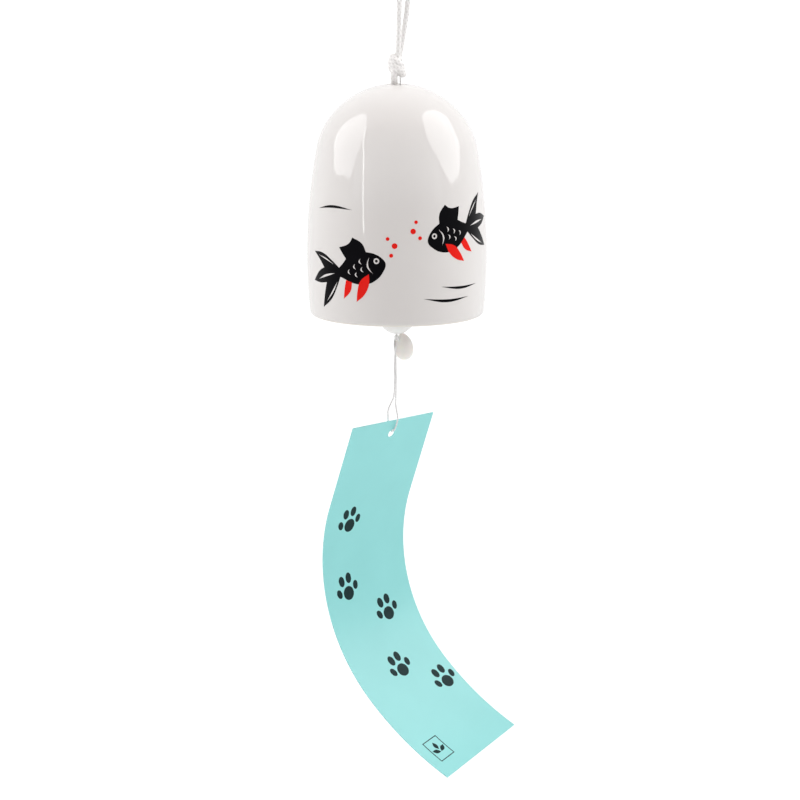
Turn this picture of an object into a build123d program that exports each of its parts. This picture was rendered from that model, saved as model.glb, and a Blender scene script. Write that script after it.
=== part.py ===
from build123d import *
import math
import os

# Furin wind bell, in millimetres: a porcelain bell on a knotted cord, a ball clapper on a thread,
# and a curled paper strip that catches the wind.
# +Z is up, +X is the viewer's right and +Y points away from the viewer.
# The origin is the inside top of the hanging loop, where a hook or nail bears.

# Clearances shared by mating pieces
running_gap = 0.35
seat_gap = 0.1
bore_gap = 0.12
cut_overrun = 2.0

# Hanging cord and its knot
cord_diameter = 1.9
hook_diameter = 2.4
leg_half_spacing_x = 0.5
leg_half_spacing_y = 1.05
leg_set_right = 1.2
knot_drop = 32.2
knot_width = 6.2
knot_half_height = 4.8
knot_end_length = 1.0
knot_cord_diameter = 1.5
knot_pitch = 2.6
knot_turns = 1.5
knot_slant_share = 0.55
hook_wrap_share = 0.97
bell_set_left = 3.0

# Bell
crown_drop = 5.9
bell_height = 79.3
belly_radius = 31.0
belly_height_share = 0.26
belly_arc_share = 2.53
dome_height_share = 0.7
crown_rise_share = 0.0676
wall = 3.0
crown_hole_diameter = 6.0
crown_hole_round = 0.8

# Cord and thread through the crown, and the bead that carries the bell
neck_diameter = 2.2
neck_set_left = 0.7
thread_diameter = 0.5
neck_thread_set_right = 1.25
stop_bead_diameter = 9.5
stop_bead_round = 0.6

# Clapper
line_knot_diameter = 4.4
line_diameter = 0.8
clapper_drop = 80.15
clapper_diameter = 12.7
clapper_bore_round = 0.5
tail_knot_diameter = 2.2

# Toggle bead, placed from the middle of the knot under the clapper
bead_diameter = 6.6
bead_rise = 5.2
bead_fall = 4.2
bead_side_radius = 6.5
bead_set_right = 2.4
bead_set_back = 2.9
bead_set_down = 4.1
bead_tilt = 8.0
bead_bore_depth = 4.0

# Paper strip, placed from the middle of the knot under the clapper: turned about the vertical, leaning back,
# flat at its head and then curled on a cone
strip_width = 40.0
strip_length = 139.0
strip_thickness = 0.35
strip_flat_length = 28.5
strip_curl_radius = 69.0
strip_cone_angle = 11.0
strip_turn = 46.0
strip_lean = 21.0
strip_set_left = 1.2
strip_set_front = 1.4
strip_drop = 28.85
hole_diameter = 3.0
hole_inset = 5.3
hole_set_right = 0.7

# Route of the strip's thread. The two legs are placed from the middle of the knot under the clapper, and the
# loop through the paper from the middle of the paper's top edge: right, up and out of its front face.
first_leg_route = [
    (0.0, 0.0, -1.5),
    (-0.35, -0.4, -3.4),
    (-0.75, -0.55, -6.2),
    (-0.85, -0.5, -11.5),
    (-0.75, -0.4, -17.0),
    (-1.1, -0.3, -21.0),
]
loop_route = [
    (-2.9, 3.2, -2.6),
    (-2.6, 0.2, -1.2),
    (-1.2, -2.6, -0.95),
    (0.3, -4.3, -0.75),
    (0.9, -4.5, 0.6),
    (1.5, -2.0, 1.0),
    (1.7, 1.6, 0.95),
]
second_leg_route = [
    (-0.05, -0.2, -24.4),
    (-0.35, 0.45, -20.6),
    (-0.2, 0.4, -16.0),
    (-0.35, 0.3, -10.5),
    (-0.35, 0.35, -5.6),
    (-1.2, 1.3, -3.6),
    (-1.4, 2.5, -1.4),
    (-0.45, 2.95, 0.65),
    (0.55, 2.95, 1.4),
    (1.4, 2.9, 1.3),
    (1.8, 2.9, 0.45),
    (1.87, 2.9, -0.8),
]
route_reach_share = 0.45
sample_spacing = 0.25
quarters_per_turn = 4

# Places worked out from the sizes above
bell_x = -bell_set_left
knot_z = -knot_drop
crown_z = knot_z - crown_drop
rim_z = crown_z - bell_height
neck_top_z = knot_z - knot_half_height - running_gap
belly_height = bell_height * belly_height_share
belly_arc_radius = bell_height * belly_arc_share
dome_height = belly_radius * dome_height_share
belly_lean_share = (bell_height - dome_height - belly_height) / belly_arc_radius
shoulder_radius = dome_height * (1 - crown_rise_share) / (1 - belly_lean_share)
shoulder_step = belly_arc_radius - shoulder_radius
shoulder_reach = belly_radius - belly_arc_radius + shoulder_step * math.sqrt(1 - belly_lean_share**2)
shoulder_height = belly_height + shoulder_step * belly_lean_share
crown_drop_inside = bell_height - shoulder_height
crown_radius = (shoulder_reach**2 + crown_drop_inside**2 - shoulder_radius**2) / (
    2 * (crown_drop_inside - shoulder_radius)
)
hole_radius = crown_hole_diameter / 2
seat_reach = hole_radius + crown_hole_round
seat_height = bell_height - crown_radius + math.sqrt((crown_radius - wall) ** 2 - seat_reach**2)
stop_bead_radius = stop_bead_diameter / 2
stop_bead_bore = neck_set_left + neck_diameter / 2 + bore_gap
stop_bead_fall = math.sqrt((stop_bead_radius + crown_hole_round + seat_gap) ** 2 - seat_reach**2)
stop_bead_z = rim_z + seat_height + crown_hole_round - stop_bead_fall
line_knot_radius = line_knot_diameter / 2
bore_edge_reach = stop_bead_bore + stop_bead_round
bore_edge_drop = math.sqrt((stop_bead_radius - stop_bead_round) ** 2 - bore_edge_reach**2)
line_knot_fall = math.sqrt((line_knot_radius + stop_bead_round + running_gap) ** 2 - bore_edge_reach**2)
line_knot_z = stop_bead_z - bore_edge_drop - line_knot_fall
neck_foot_z = line_knot_z + line_knot_radius + running_gap
line_top_z = line_knot_z - line_knot_radius - running_gap
clapper_radius = clapper_diameter / 2
clapper_z = crown_z - clapper_drop
tail_z = clapper_z - clapper_radius - running_gap - tail_knot_diameter / 2
tail_middle = Vector(bell_x, 0, tail_z)
strip_across = Vector(math.cos(math.radians(strip_turn)), math.sin(math.radians(strip_turn)), 0)
strip_level = Vector(strip_across.Y, -strip_across.X, 0)
strip_facing = strip_level * math.cos(math.radians(strip_lean)) - Vector(0, 0, math.sin(math.radians(strip_lean)))
strip_plane = Plane(
    origin=tail_middle - Vector(strip_set_left, strip_set_front, strip_drop),
    x_dir=strip_across,
    z_dir=strip_facing,
)


def arc_about(centre, start, end):
    """Arc of less than a half circle about a centre, from start to end."""
    middle_way = (start - centre).normalized() + (end - centre).normalized()
    middle = centre + middle_way.normalized() * (start - centre).length
    return ThreePointArc(start, middle, end)


def toward(point, centre, step):
    """The point moved a step towards a centre."""
    return point + (centre - point).normalized() * step


def height_on(centre, radius, reach):
    """Upper point of a circle at a distance from the profile's axis."""
    return Vector(reach, centre.Y + math.sqrt(radius**2 - (reach - centre.X) ** 2))


def reach_on(centre, radius, height):
    """Right-hand point of a circle at a height of the profile."""
    return Vector(centre.X + math.sqrt(radius**2 - (height - centre.Y) ** 2), height)


def turned(edges):
    """Solid turned about the Z axis from a closed profile of radius and height."""
    return revolve(Plane.XZ * make_face(edges), Axis.Z)


def is_ring(edge):
    """Whether an edge of a turned solid goes all the way round."""
    return edge.is_closed


def ball(diameter, bore, bore_round):
    """Bored ball with its bore along Z, rounded where the bore comes out."""
    radius = diameter / 2
    end = math.sqrt(radius**2 - bore**2)
    profile = [
        ThreePointArc((bore, end), (radius, 0), (bore, -end)),
        Line((bore, -end), (bore, end)),
    ]
    solid = turned(profile)
    return fillet(solid.edges().filter_by(is_ring), bore_round)


def tube(path, diameter):
    """Round tube along a path, with its volume held against section times length."""
    section = Plane(origin=path @ 0, z_dir=path % 0) * Circle(diameter / 2)
    solid = sweep(section, path=path)
    ideal = math.pi * diameter**2 / 4 * path.length
    print(f"  tube length {path.length:.1f}, volume over section times length {solid.volume / ideal:.4f}")
    return solid


def corner_radii(points):
    """Largest even fillet radius at each inner point of a cord's route."""
    radii = []
    for before, point, after in zip(points, points[1:], points[2:]):
        turn = (point - before).get_angle(after - point)
        run = min((point - before).length, (after - point).length)
        radii.append(route_reach_share * run / math.tan(math.radians(turn) / 2))
    print("  radii", [round(radius, 2) for radius in radii])
    return radii


def biarc(start, start_way, end, end_way):
    """Two tangent arcs that leave start along one way and reach end along the other."""
    span = end - start
    ways = start_way + end_way
    square = ways.dot(ways) - 4
    linear = span.dot(ways)
    reach = (linear - math.sqrt(linear**2 - square * span.dot(span))) / square
    first_corner = start + start_way * reach
    last_corner = end - end_way * reach
    middle = (first_corner + last_corner) / 2
    middle_way = (last_corner - first_corner).normalized()
    return [TangentArc(start, middle, tangent=start_way), TangentArc(middle, end, tangent=middle_way)]


def self_gap(path, diameter, skip):
    """Least gap of a wound tube to itself, between points further apart along it than a length."""
    count = int(path.length / sample_spacing)
    points = [path @ (index / count) for index in range(count + 1)]
    apart = int(skip / sample_spacing)
    return min(
        (points[far] - points[near]).length
        for near in range(count + 1)
        for far in range(near + apart, count + 1)
    ) - diameter


def hanging_cord():
    """One cord up from the knot, round the hook and down again."""
    arc_radius = (hook_diameter + cord_diameter) / 2
    foot_z = knot_z + knot_half_height + running_gap
    top_z = cord_diameter / 2
    foot_x = bell_x + leg_set_right
    points = [
        Vector(foot_x - leg_half_spacing_x, -leg_half_spacing_y, foot_z),
        Vector(-arc_radius, 0, top_z),
        Vector(arc_radius, 0, top_z),
        Vector(foot_x + leg_half_spacing_x, leg_half_spacing_y, foot_z),
    ]
    path = FilletPolyline(*points, radius=arc_radius * hook_wrap_share)
    return tube(path, cord_diameter)


def crown_knot():
    """The cord's slanting wraps over the crown: one unbroken tube that comes in at the top and leaves below."""
    radius = (knot_width - knot_cord_diameter) / 2
    fall = knot_pitch / math.tau
    middle = Vector(bell_x, 0, knot_z)
    down = Vector(0, 0, -1)

    def place(quarter):
        angle = math.pi / 2 * quarter
        across = -radius * math.sin(angle)
        rise = knot_pitch * knot_turns / 2 - fall * angle - knot_slant_share * across
        return middle + Vector(across, radius * math.cos(angle), rise)

    def way(quarter):
        angle = math.pi / 2 * quarter
        across = -radius * math.cos(angle)
        return Vector(across, -radius * math.sin(angle), -fall - knot_slant_share * across).normalized()

    first = -1
    last = round(knot_turns * quarters_per_turn) + 1
    entry = middle - down * knot_half_height
    entry_end = entry + down * knot_end_length
    leave = middle + down * knot_half_height
    leave_start = leave - down * knot_end_length
    edges = [Line(entry, entry_end), *biarc(entry_end, down, place(first), way(first))]
    for quarter in range(first, last):
        edges += biarc(place(quarter), way(quarter), place(quarter + 1), way(quarter + 1))
    edges += [*biarc(place(last), way(last), leave_start, down), Line(leave_start, leave)]
    path = Wire(edges)
    tightest = min(edge.radius for edge in edges if edge.geom_type == GeomType.CIRCLE)
    gap = self_gap(path, knot_cord_diameter, knot_width)
    print(f"  knot gap to itself {gap:.2f}, tightest arc {tightest:.2f}")
    return tube(path, knot_cord_diameter)


def straight_cord(x, top, foot, diameter):
    """Upright stretch of cord or thread between two heights."""
    below = (Align.CENTER, Align.CENTER, Align.MAX)
    return Pos(x, 0, top) * Cylinder(diameter / 2, top - foot, align=below)


def bell_shell():
    """Porcelain bell: belly, shoulder and crown arcs that run into each other, an even wall and a round lip."""
    belly = Vector(belly_radius - belly_arc_radius, belly_height)
    shoulder = Vector(shoulder_reach, shoulder_height)
    crown = Vector(0, bell_height - crown_radius)
    lip = wall / 2
    rim_out = reach_on(belly, belly_arc_radius, lip)
    rim_in = reach_on(belly, belly_arc_radius - wall, lip)
    lip_foot = Vector((rim_out.X + rim_in.X) / 2, 0)
    belly_end = belly + (shoulder - belly).normalized() * belly_arc_radius
    crown_end = crown + (shoulder - crown).normalized() * crown_radius
    belly_end_in = toward(belly_end, belly, wall)
    crown_end_in = toward(crown_end, crown, wall)
    hole_out = height_on(crown, crown_radius, hole_radius)
    hole_in = height_on(crown, crown_radius - wall, hole_radius)
    profile = [
        arc_about(belly, rim_out, belly_end),
        arc_about(shoulder, belly_end, crown_end),
        arc_about(crown, crown_end, hole_out),
        Line(hole_out, hole_in),
        arc_about(crown, hole_in, crown_end_in),
        arc_about(shoulder, crown_end_in, belly_end_in),
        arc_about(belly, belly_end_in, rim_in),
        ThreePointArc(rim_in, lip_foot, rim_out),
    ]
    shell = turned(profile)
    hole_edges = shell.edges().filter_by(is_ring).sort_by(SortBy.RADIUS)[:2]
    return Pos(bell_x, 0, rim_z) * fillet(hole_edges, crown_hole_round)


def end_radius(side_radius, reach, length):
    """Radius of the round end, on the axis, of a turned bead whose side is an arc of a given radius."""
    offset = side_radius - reach
    return (side_radius**2 - offset**2 - length**2) / (2 * (side_radius - length))


def toggle_bead():
    """Egg-shaped bead of three arcs, narrower at its top, with a blind bore for the end of the thread."""
    radius = bead_diameter / 2
    bore = thread_diameter / 2 + bore_gap
    top_radius = end_radius(bead_side_radius, radius, bead_rise)
    foot_radius = end_radius(bead_side_radius, radius, bead_fall)
    side = Vector(radius - bead_side_radius, 0)
    top = Vector(0, bead_rise - top_radius)
    foot = Vector(0, foot_radius - bead_fall)
    top_end = side + (top - side).normalized() * bead_side_radius
    foot_end = side + (foot - side).normalized() * bead_side_radius
    mouth = height_on(top, top_radius, bore)
    floor = bead_rise - bead_bore_depth
    profile = [
        arc_about(foot, Vector(0, -bead_fall), foot_end),
        arc_about(side, foot_end, top_end),
        arc_about(top, top_end, mouth),
        Line(mouth, (bore, floor)),
        Line((bore, floor), (0, floor)),
        Line((0, floor), (0, -bead_fall)),
    ]
    place = tail_middle + Vector(bead_set_right, bead_set_back, -bead_set_down)
    return Pos(place) * Rot(0, -bead_tilt, 0) * turned(profile)


def strip_thread():
    """One thread from the knot down to the paper, through its hole and back up into the toggle bead."""
    points = [tail_middle + Vector(*place) for place in first_leg_route]
    points += [strip_plane.from_local_coords(Vector(*place)) for place in loop_route]
    points += [tail_middle + Vector(*place) for place in second_leg_route]
    path = FilletPolyline(*points, radius=corner_radii(points))
    return tube(path, thread_diameter)


def paper_strip():
    """Paper strip: a flat head with its hole, then one curl on a cone towards its front face."""
    head = Pos(0, -strip_flat_length / 2, 0) * Box(strip_width, strip_flat_length, strip_thickness)
    cone = math.radians(strip_cone_angle)
    inward = Vector(math.sin(cone), 0, math.cos(cone))
    foot = Vector(0, -strip_flat_length, 0)
    curl_axis = Axis(foot + inward * strip_curl_radius, Vector(-math.cos(cone), 0, math.sin(cone)))
    section = Plane(origin=foot, x_dir=(1, 0, 0), z_dir=(0, -1, 0)) * Rectangle(strip_width, strip_thickness)
    curl_angle = math.degrees((strip_length - strip_flat_length) / strip_curl_radius)
    curl = revolve(section, curl_axis, revolution_arc=curl_angle)
    hole = Pos(hole_set_right, -hole_inset, 0) * Cylinder(hole_diameter / 2, strip_thickness + cut_overrun)
    return strip_plane * (head + curl - hole)


def build_nodes():
    """Every piece of the wind bell by its name."""
    clapper_foot_z = clapper_z - clapper_radius + clapper_bore_round
    clapper_bore = line_diameter / 2 + bore_gap
    return {
        "hanging_cord": hanging_cord(),
        "crown_knot": crown_knot(),
        "neck_cord": straight_cord(bell_x - neck_set_left, neck_top_z, neck_foot_z, neck_diameter),
        "neck_thread": straight_cord(bell_x + neck_thread_set_right, neck_top_z, neck_foot_z, thread_diameter),
        "stop_bead": Pos(bell_x, 0, stop_bead_z) * ball(stop_bead_diameter, stop_bead_bore, stop_bead_round),
        "bell_shell": bell_shell(),
        "line_knot": Pos(bell_x, 0, line_knot_z) * Sphere(line_knot_radius),
        "clapper_line": straight_cord(bell_x, line_top_z, clapper_foot_z, line_diameter),
        "clapper": Pos(bell_x, 0, clapper_z) * ball(clapper_diameter, clapper_bore, clapper_bore_round),
        "tail_knot": Pos(tail_middle) * Sphere(tail_knot_diameter / 2),
        "toggle_bead": toggle_bead(),
        "strip_thread": strip_thread(),
        "paper_strip": paper_strip(),
    }


if __name__ == "__main__":
    os.makedirs("parts", exist_ok=True)
    for name, solid in build_nodes().items():
        export_step(solid, f"parts/{name}.step")
        print(name, f"volume {solid.volume:.1f}")
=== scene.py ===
"""Furin wind bell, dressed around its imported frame.

A porcelain bell hangs on a braided cord, with a ball clapper on a thread inside it and a paper strip below.
Lengths are in metres, +Z is up, +X is the viewer's right and +Y points away from the viewer.
"""

import logging
import math
from dataclasses import dataclass, field
from enum import Enum
from typing import Callable, Sequence

import bpy
from mathutils import Matrix, Vector


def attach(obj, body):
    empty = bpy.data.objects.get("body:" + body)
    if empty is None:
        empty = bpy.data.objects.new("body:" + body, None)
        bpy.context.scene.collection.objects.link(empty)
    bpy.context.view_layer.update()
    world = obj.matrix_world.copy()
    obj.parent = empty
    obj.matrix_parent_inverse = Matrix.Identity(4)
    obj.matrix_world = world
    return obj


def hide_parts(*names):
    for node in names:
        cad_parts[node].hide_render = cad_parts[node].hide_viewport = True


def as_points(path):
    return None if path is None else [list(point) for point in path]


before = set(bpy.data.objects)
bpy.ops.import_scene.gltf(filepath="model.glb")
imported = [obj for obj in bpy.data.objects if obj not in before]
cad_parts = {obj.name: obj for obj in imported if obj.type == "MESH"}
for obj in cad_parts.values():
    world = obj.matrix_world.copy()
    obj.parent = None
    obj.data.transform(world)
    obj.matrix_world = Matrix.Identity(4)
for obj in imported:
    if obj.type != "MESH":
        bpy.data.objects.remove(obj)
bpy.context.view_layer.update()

MM = 0.001
MERGE = 1e-6
UP = Vector((0, 0, 1))
AXIS = Vector((-3.0, 0, 0)) * MM
RIM_Z = -117.4 * MM
WHITE = "#ffffff"
CORD_EDGE = math.radians(60)
FILM_EDGE = math.radians(40)
ROUND_POINTS = 8
log = logging.getLogger("wind_bell")

Colour = tuple[float, float, float, float]
Spot = tuple[float, float, float]
Route = Sequence[Spot]
Profile = Sequence[Vector]
Outline = Sequence[tuple[float, ...]]  # A third value makes a point a sharp corner.


# Materials


def linear(code: str) -> Colour:
    """Turns an sRGB hex colour to linear light.

    Args:
        code: The colour, such as "#f4f2ee".

    Returns:
        Red, green, blue and an alpha of one.
    """
    shares = [int(code[place : place + 2], 16) / 255 for place in (1, 3, 5)]
    red, green, blue = (
        share / 12.92 if share <= 0.04045 else ((share + 0.055) / 1.055) ** 2.4 for share in shares
    )
    return red, green, blue, 1.0


def add_node(
    tree: bpy.types.NodeTree, kind: str, settings: dict | None = None, links: dict | None = None
) -> bpy.types.Node:
    """Adds a node with its settings and incoming links.

    Args:
        tree: The tree that the node goes in.
        kind: The node's type name.
        settings: Values by input name or number, or by property name.
        links: Output sockets by input name or number.

    Returns:
        The new node.
    """
    node = tree.nodes.new(kind)
    for name, value in (settings or {}).items():
        if isinstance(name, int) or name in node.inputs:
            node.inputs[name].default_value = value
        else:
            setattr(node, name, value)
    for name, source in (links or {}).items():
        tree.links.new(source, node.inputs[name])
    return node


def new_material(name: str, values: dict) -> tuple[bpy.types.Material, bpy.types.NodeTree, bpy.types.Node]:
    """Starts a material on its shader.

    Args:
        name: The material's name.
        values: The shader's constant values by input name.

    Returns:
        The material, its node tree and its shader node.
    """
    material = bpy.data.materials.new(name)
    material.use_nodes = True
    tree = material.node_tree
    shader = tree.nodes["Principled BSDF"]
    for key, value in values.items():
        shader.inputs[key].default_value = value
    return material, tree, shader


@dataclass(frozen=True)
class Relief:
    """A fine unevenness of a surface: its width, its depth, how strongly it shows and how rich it is."""

    size: float
    depth: float
    strength: float
    detail: float


@dataclass(frozen=True)
class Finish:
    """A finish: its name, its slot, its two shades, the width of their grain and its relief."""

    name: str
    slot: str
    low: str
    high: str
    grain: float
    relief: Relief | None = None

    def values(self) -> dict:
        """The shader's constants by input name."""
        return {}

    def place(self, tree: bpy.types.NodeTree) -> bpy.types.NodeSocket:
        """The coordinates that the finish lies on."""
        return add_node(tree, "ShaderNodeTexCoord").outputs["Object"]

    def colour(
        self, tree: bpy.types.NodeTree, shader: bpy.types.Node, place: bpy.types.NodeSocket
    ) -> bpy.types.NodeSocket:
        """Blends the two shades in soft clouds.

        Args:
            tree: The material's tree.
            shader: Its shader.
            place: The coordinates that the finish lies on.

        Returns:
            The colour.
        """
        settings = {"Scale": 1 / self.grain, "Detail": 3.0}
        clouds = add_node(tree, "ShaderNodeTexNoise", settings, {"Vector": place})
        settings = {"data_type": "RGBA", 6: linear(self.low), 7: linear(self.high)}
        return add_node(tree, "ShaderNodeMix", settings, {0: clouds.outputs[0]}).outputs[2]

    def material(self) -> bpy.types.Material:
        """Builds the finish: its constants, its colour and its relief."""
        made, tree, shader = new_material(self.name, self.values())
        place = self.place(tree)
        tree.links.new(self.colour(tree, shader, place), shader.inputs["Base Color"])
        if self.relief:
            settings = {"Scale": 1 / self.relief.size, "Detail": self.relief.detail}
            grain = add_node(tree, "ShaderNodeTexNoise", settings, {"Vector": place})
            settings = {"Strength": self.relief.strength, "Distance": self.relief.depth}
            bump = add_node(tree, "ShaderNodeBump", settings, {"Height": grain.outputs[0]})
            tree.links.new(bump.outputs[0], shader.inputs["Normal"])
        return made


@dataclass(frozen=True)
class GlazedPorcelain(Finish):
    """Slip-cast porcelain under a clear glaze: white, glassy, in slow waves; the bell's foot is matt."""

    slot: str = "white_porcelain"
    low: str = "#e3e0de"
    high: str = "#e8e6e4"
    grain: float = 22 * MM
    relief: Relief = Relief(11 * MM, 0.05 * MM, 0.12, 1.0)
    foot_z: float | None = None
    foot_height: float = 0.9 * MM
    glaze_edge: float = 0.4
    bare: str = "#e6dfd6"
    gloss: float = 0.04
    matt: float = 0.55

    def values(self) -> dict:
        """The glaze's constants by input name."""
        return {"Roughness": self.gloss, "IOR": 1.52, "Coat Weight": 0.35, "Coat Roughness": 0.015}

    def colour(
        self, tree: bpy.types.NodeTree, shader: bpy.types.Node, place: bpy.types.NodeSocket
    ) -> bpy.types.NodeSocket:
        """The white body, with a bare ring at its foot that isn't glossy.

        Args:
            tree: The material's tree.
            shader: Its shader.
            place: The coordinates that the finish lies on.

        Returns:
            The colour.
        """
        white = super().colour(tree, shader, place)
        if self.foot_z is None:
            return white
        height = add_node(tree, "ShaderNodeSeparateXYZ", {}, {0: place}).outputs["Z"]
        edge = self.foot_z + self.glaze_edge * self.foot_height
        settings = {"From Min": edge, "From Max": self.foot_z + self.foot_height}
        glazed = add_node(tree, "ShaderNodeMapRange", settings, {"Value": height}).outputs[0]
        settings = {"To Min": self.matt, "To Max": self.gloss}
        rough = add_node(tree, "ShaderNodeMapRange", settings, {"Value": glazed})
        tree.links.new(rough.outputs[0], shader.inputs["Roughness"])
        settings = {"data_type": "RGBA", 6: linear(self.bare)}
        return add_node(tree, "ShaderNodeMix", settings, {0: glazed, 7: white}).outputs[2]


@dataclass(frozen=True)
class PrintInk(Finish):
    """Screen-printed colour: an even film that is a little thin in places."""

    grain: float = 5 * MM
    roughness: float = 0.5

    def values(self) -> dict:
        """The film's constants by input name."""
        return {"Roughness": self.roughness, "Specular IOR Level": 0.16}


@dataclass(frozen=True)
class Yarn(Finish):
    """Spun white polyester: soft, faintly lustrous and see-through, with painted shade in the grooves between
    its yarns.

    Its grain is the fibres' width.
    """

    sheen: float = 0.5
    glow: float = 0.15
    glow_reach: float = 3.0
    fibre_stretch: float = 0.12
    fibres_round: float = 8.0
    fibre_share: float = 0.3
    # Cosines round a yarn where its painted shade is deepest and where it clears.
    painted_shade_deepest: float = -0.1
    painted_shade_clear: float = 0.9

    def values(self) -> dict:
        """The yarn's constants by input name."""
        return {
            "Roughness": 0.72,
            "IOR": 1.45,
            "Sheen Weight": self.sheen,
            "Sheen Roughness": 0.4,
            "Subsurface Weight": self.glow,
            "Subsurface Radius": (1.0, 1.0, 1.0),
            "Subsurface Scale": self.glow_reach * self.grain,
        }

    def place(self, tree: bpy.types.NodeTree) -> bpy.types.NodeSocket:
        """The piece's own UV map: the length along each yarn and the place round it."""
        return add_node(tree, "ShaderNodeUVMap", {"uv_map": "lay"}).outputs[0]

    def colour(
        self, tree: bpy.types.NodeTree, shader: bpy.types.Node, place: bpy.types.NodeSocket
    ) -> bpy.types.NodeSocket:
        """Paints shade into the yarns, deepest on their sides and undersides in the grooves between them and
        clear on their crests, and raises fibres stretched along them.

        Args:
            tree: The material's tree.
            shader: Its shader.
            place: The coordinates that the finish lies on.

        Returns:
            The colour.
        """
        scale = (self.fibre_stretch / self.grain, self.fibres_round, 1.0)
        along = add_node(tree, "ShaderNodeMapping", {"Scale": scale}, {"Vector": place}).outputs[0]
        settings = {"Scale": 1.0, "Detail": 2.0}
        fibres = add_node(tree, "ShaderNodeTexNoise", settings, {"Vector": along}).outputs[0]
        # Painted shade: each yarn's colour darkens from its outer face to its sides and inner face, where its
        # neighbours and the core would shade it.
        around = add_node(tree, "ShaderNodeSeparateXYZ", {}, {0: place}).outputs["Y"]
        settings = {"operation": "MULTIPLY", 1: math.tau}
        angle = add_node(tree, "ShaderNodeMath", settings, {0: around}).outputs[0]
        outward = add_node(tree, "ShaderNodeMath", {"operation": "COSINE"}, {0: angle}).outputs[0]
        settings = {"From Min": self.painted_shade_deepest, "From Max": self.painted_shade_clear}
        painted_shade_clear = add_node(tree, "ShaderNodeMapRange", settings, {"Value": outward}).outputs[0]
        # The blend mixes the fibres' grain with the painted shade.
        settings = {"operation": "MULTIPLY_ADD", 1: self.fibre_share}
        share = add_node(tree, "ShaderNodeMath", settings, {0: fibres, 2: painted_shade_clear}).outputs[0]
        settings = {"Strength": 0.4, "Distance": self.grain}
        bump = add_node(tree, "ShaderNodeBump", settings, {"Height": fibres})
        tree.links.new(bump.outputs[0], shader.inputs["Normal"])
        settings = {"data_type": "RGBA", 6: linear(self.low), 7: linear(self.high)}
        return add_node(tree, "ShaderNodeMix", settings, {0: share}).outputs[2]


@dataclass(frozen=True)
class MouldedBead(Finish):
    """Moulded milky plastic: satin, a little see-through, with a faint grain."""

    name: str = "moulded_bead"
    slot: str = "bead_plastic"
    low: str = "#f4f0ea"
    high: str = "#faf7f2"
    grain: float = 3 * MM
    relief: Relief = Relief(0.6 * MM, 0.02 * MM, 0.15, 2.0)

    def values(self) -> dict:
        """The plastic's constants by input name."""
        return {"Roughness": 0.36, "IOR": 1.49, "Subsurface Weight": 0.15, "Subsurface Scale": 1.5 * MM}


@dataclass(frozen=True)
class CoatedPaper(Finish):
    """Smooth turquoise card: an even, softly shining coat over fine fibres."""

    name: str = "coated_paper"
    slot: str = "strip_paper"
    low: str = "#93e0df"
    high: str = "#9be8e7"
    grain: float = 14 * MM
    relief: Relief = Relief(0.5 * MM, 0.03 * MM, 0.2, 4.0)

    def values(self) -> dict:
        """The coat's constants by input name."""
        return {"Roughness": 0.5, "IOR": 1.48, "Coat Weight": 0.6, "Coat Roughness": 0.34}


# Modelling


def deselect() -> None:
    """Leaves nothing selected, so that an operator acts on the new piece alone."""
    bpy.ops.object.select_all(action="DESELECT")


def pick(piece: bpy.types.Object) -> None:
    """Selects one object and makes it the active one."""
    deselect()
    piece.select_set(True)
    bpy.context.view_layer.objects.active = piece


def put(name: str, data: bpy.types.ID) -> bpy.types.Object:
    """Puts data in the scene as an object."""
    made = bpy.data.objects.new(name, data)
    bpy.context.scene.collection.objects.link(made)
    return made


def face_alike(piece: bpy.types.Object) -> None:
    """Picks a piece and turns all its faces the same way, outward where it is closed."""
    pick(piece)
    bpy.ops.object.mode_set(mode="EDIT")
    bpy.ops.mesh.select_all(action="SELECT")
    bpy.ops.mesh.normals_make_consistent(inside=False)
    bpy.ops.object.mode_set(mode="OBJECT")


def route_from(start: Vector, places: Route) -> list[Vector]:
    """The points of a route given in millimetres from a start."""
    return [start + Vector(place) * MM for place in places]


def arc(centre: Vector, start: Vector, end: Vector, count: int) -> list[Vector]:
    """Points along the shorter arc about a centre.

    Args:
        centre: The arc's centre in the profile plane.
        start: Its first point.
        end: Its last point.
        count: How many steps it has.

    Returns:
        The points after the first one.
    """
    first = math.atan2(start.y - centre.y, start.x - centre.x)
    turn = (start - centre).angle_signed(end - centre)
    radius = (start - centre).length
    angles = [first - turn * step / count for step in range(1, count + 1)]
    return [centre + radius * Vector((math.cos(angle), math.sin(angle))) for angle in angles]


def turned(name: str, profile: Profile, foot: Vector, steps: int) -> bpy.types.Object:
    """Turns a profile as on a lathe: one vertex is extruded along it, then spun about the upright axis.

    Args:
        name: The piece's name.
        profile: Distance from the axis and height of each point.
        foot: The point on the axis that heights start from.
        steps: How many steps the full turn has.

    Returns:
        The new piece.
    """
    deselect()
    bpy.ops.mesh.primitive_plane_add(size=MM)
    piece = bpy.context.object
    piece.name = piece.data.name = name
    bpy.ops.object.mode_set(mode="EDIT")
    bpy.ops.mesh.select_all(action="SELECT")
    bpy.ops.mesh.merge(type="CENTER")
    bpy.ops.transform.translate(value=foot + Vector((profile[0].x, 0, profile[0].y)))
    for before, point in zip(profile, profile[1:]):
        step = point - before
        bpy.ops.mesh.extrude_region_move(TRANSFORM_OT_translate={"value": (step.x, 0, step.y)})
    bpy.ops.mesh.select_all(action="SELECT")
    bpy.ops.mesh.spin(steps=steps, angle=math.tau, center=foot, axis=UP)
    bpy.ops.mesh.select_all(action="SELECT")
    bpy.ops.mesh.remove_doubles(threshold=MERGE)
    bpy.ops.mesh.normals_make_consistent(inside=False)
    bpy.ops.mesh.faces_shade_smooth()
    bpy.ops.object.mode_set(mode="OBJECT")
    return piece


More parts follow.
